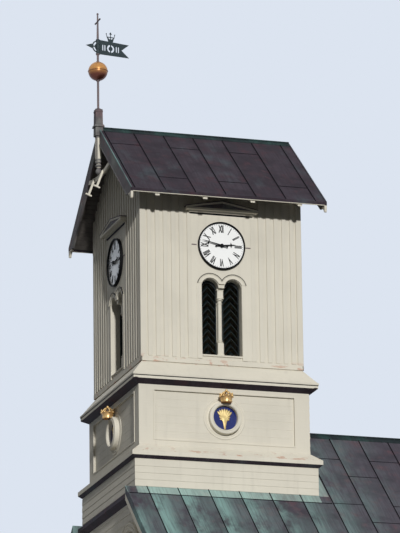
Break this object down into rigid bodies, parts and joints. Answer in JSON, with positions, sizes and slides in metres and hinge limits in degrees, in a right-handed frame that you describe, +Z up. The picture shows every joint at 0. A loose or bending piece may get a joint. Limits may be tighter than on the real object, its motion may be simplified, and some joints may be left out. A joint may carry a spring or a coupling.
{
  "type": "church clock tower with nave roof and front gable",
  "caption": "Timber church clock tower with a louvred belfry, clocks, a gabled copper roof, a gilt ball and a weathervane, on a stretch of nave roof with its front gable.",
  "frame": {"origin": "middle of the front gable wall's foot, on the level face that rests on the church body", "axes": "+X along the nave from the front gable towards the far end, +Y to the north clock, +Z up"},
  "size_m": [10.5476, 11.8056, 16.7601],
  "materials": {
    "painted_boards": "cream oil paint on sawn boards",
    "painted_moulding": "cream oil paint on planed mouldings",
    "painted_joinery": "cream oil paint on planed joinery",
    "copper_roofing": "weathered brown sheet copper with standing seams",
    "green_copper": "green copper patina",
    "finial_copper": "weathered copper cladding over a painted pendant",
    "dark_louvres": "dark green paint on louvre boards",
    "dial_enamel": "white enamel on sheet metal",
    "dial_rim": "black paint on a turned rim",
    "clock_hands": "black paint on sheet metal",
    "blue_enamel": "blue enamel",
    "gilding": "gold leaf",
    "forged_iron": "dark weathered iron",
    "window_glass": "dark window glass",
    "bare_floorboards": "bare sawn floorboards"
  },
  "bodies": {
    "tower": {"apron_flashings": "green_copper", "arch_surrounds": "painted_joinery", "bargeboards": "copper_roofing", "base_wall_east": "painted_boards", "base_wall_north": "painted_boards", "base_wall_south": "painted_boards", "base_wall_west": "painted_boards", "belfry_floor": "bare_floorboards", "belfry_wall_east": "painted_boards", "belfry_wall_north": "painted_boards", "belfry_wall_south": "painted_boards", "belfry_wall_west": "painted_boards", "clock_dials": "dial_enamel", "clock_hoods": "painted_joinery", "clock_panels": "painted_joinery", "colonnettes": "painted_joinery", "dial_rims": "dial_rim", "eave_boards": "painted_joinery", "eave_brackets": "painted_joinery", "finial_post": "finial_copper", "front_cornice": "painted_moulding", "front_gable_wall": "painted_boards", "gable_truss": "painted_joinery", "gilt_ball": "gilding", "louvres": "dark_louvres", "lower_water_table": "painted_moulding", "medallion_crests": "gilding", "medallion_discs": "blue_enamel", "medallion_rings": "painted_joinery", "nave_end_wall": "painted_boards", "nave_ridge_cap": "green_copper", "nave_roof_north": "copper_roofing", "nave_roof_south": "copper_roofing", "panel_wall_east": "painted_boards", "panel_wall_north": "painted_boards", "panel_wall_south": "painted_boards", "panel_wall_west": "painted_boards", "raking_cornices": "painted_moulding", "round_window_frames": "painted_joinery", "round_window_panes": "window_glass", "spire_rod": "forged_iron", "tower_ridge_cap": "green_copper", "tower_roof_north": "copper_roofing", "tower_roof_south": "copper_roofing", "upper_water_table": "painted_moulding"},
    "weathervane_body": {"weathervane": "forged_iron"},
    "minute_hand_south_body": {"minute_hand_south": "clock_hands"},
    "hour_hand_south_body": {"hour_hand_south": "clock_hands"},
    "minute_hand_north_body": {"minute_hand_north": "clock_hands"},
    "hour_hand_north_body": {"hour_hand_north": "clock_hands"},
    "minute_hand_west_body": {"minute_hand_west": "clock_hands"},
    "hour_hand_west_body": {"hour_hand_west": "clock_hands"},
    "minute_hand_east_body": {"minute_hand_east": "clock_hands"},
    "hour_hand_east_body": {"hour_hand_east": "clock_hands"}
  },
  "joints": [
    {"name": "weathervane_turn", "type": "hinge", "parent": "tower", "child": "weathervane_body", "pos_m": [-0.36, 0, 0], "axis": [0, 0, 1], "continuous": true},
    {"name": "minute_hand_south_turn", "type": "hinge", "parent": "tower", "child": "minute_hand_south_body", "pos_m": [2.34, -2.324, 9.77], "axis": [0, 1, 0], "continuous": true},
    {"name": "hour_hand_south_turn", "type": "hinge", "parent": "tower", "child": "hour_hand_south_body", "pos_m": [2.34, -2.294, 9.77], "axis": [0, 1, 0], "continuous": true},
    {"name": "minute_hand_north_turn", "type": "hinge", "parent": "tower", "child": "minute_hand_north_body", "pos_m": [2.34, 2.324, 9.77], "axis": [0, -1, 0], "continuous": true},
    {"name": "hour_hand_north_turn", "type": "hinge", "parent": "tower", "child": "hour_hand_north_body", "pos_m": [2.34, 2.294, 9.77], "axis": [0, -1, 0], "continuous": true},
    {"name": "minute_hand_west_turn", "type": "hinge", "parent": "tower", "child": "minute_hand_west_body", "pos_m": [0.016, 0, 9.77], "axis": [1, 0, 0], "continuous": true},
    {"name": "hour_hand_west_turn", "type": "hinge", "parent": "tower", "child": "hour_hand_west_body", "pos_m": [0.046, 0, 9.77], "axis": [1, 0, 0], "continuous": true},
    {"name": "minute_hand_east_turn", "type": "hinge", "parent": "tower", "child": "minute_hand_east_body", "pos_m": [4.664, 0, 9.77], "axis": [-1, 0, 0], "continuous": true},
    {"name": "hour_hand_east_turn", "type": "hinge", "parent": "tower", "child": "hour_hand_east_body", "pos_m": [4.634, 0, 9.77], "axis": [-1, 0, 0], "continuous": true}
  ],
  "couplings": [
    {"joint": "hour_hand_south_turn", "follows": "minute_hand_south_turn", "ratio": 0.083333},
    {"joint": "minute_hand_north_turn", "follows": "minute_hand_south_turn", "ratio": 1},
    {"joint": "hour_hand_north_turn", "follows": "minute_hand_south_turn", "ratio": 0.083333},
    {"joint": "minute_hand_west_turn", "follows": "minute_hand_south_turn", "ratio": 1},
    {"joint": "hour_hand_west_turn", "follows": "minute_hand_south_turn", "ratio": 0.083333},
    {"joint": "minute_hand_east_turn", "follows": "minute_hand_south_turn", "ratio": 1},
    {"joint": "hour_hand_east_turn", "follows": "minute_hand_south_turn", "ratio": 0.083333}
  ]
}
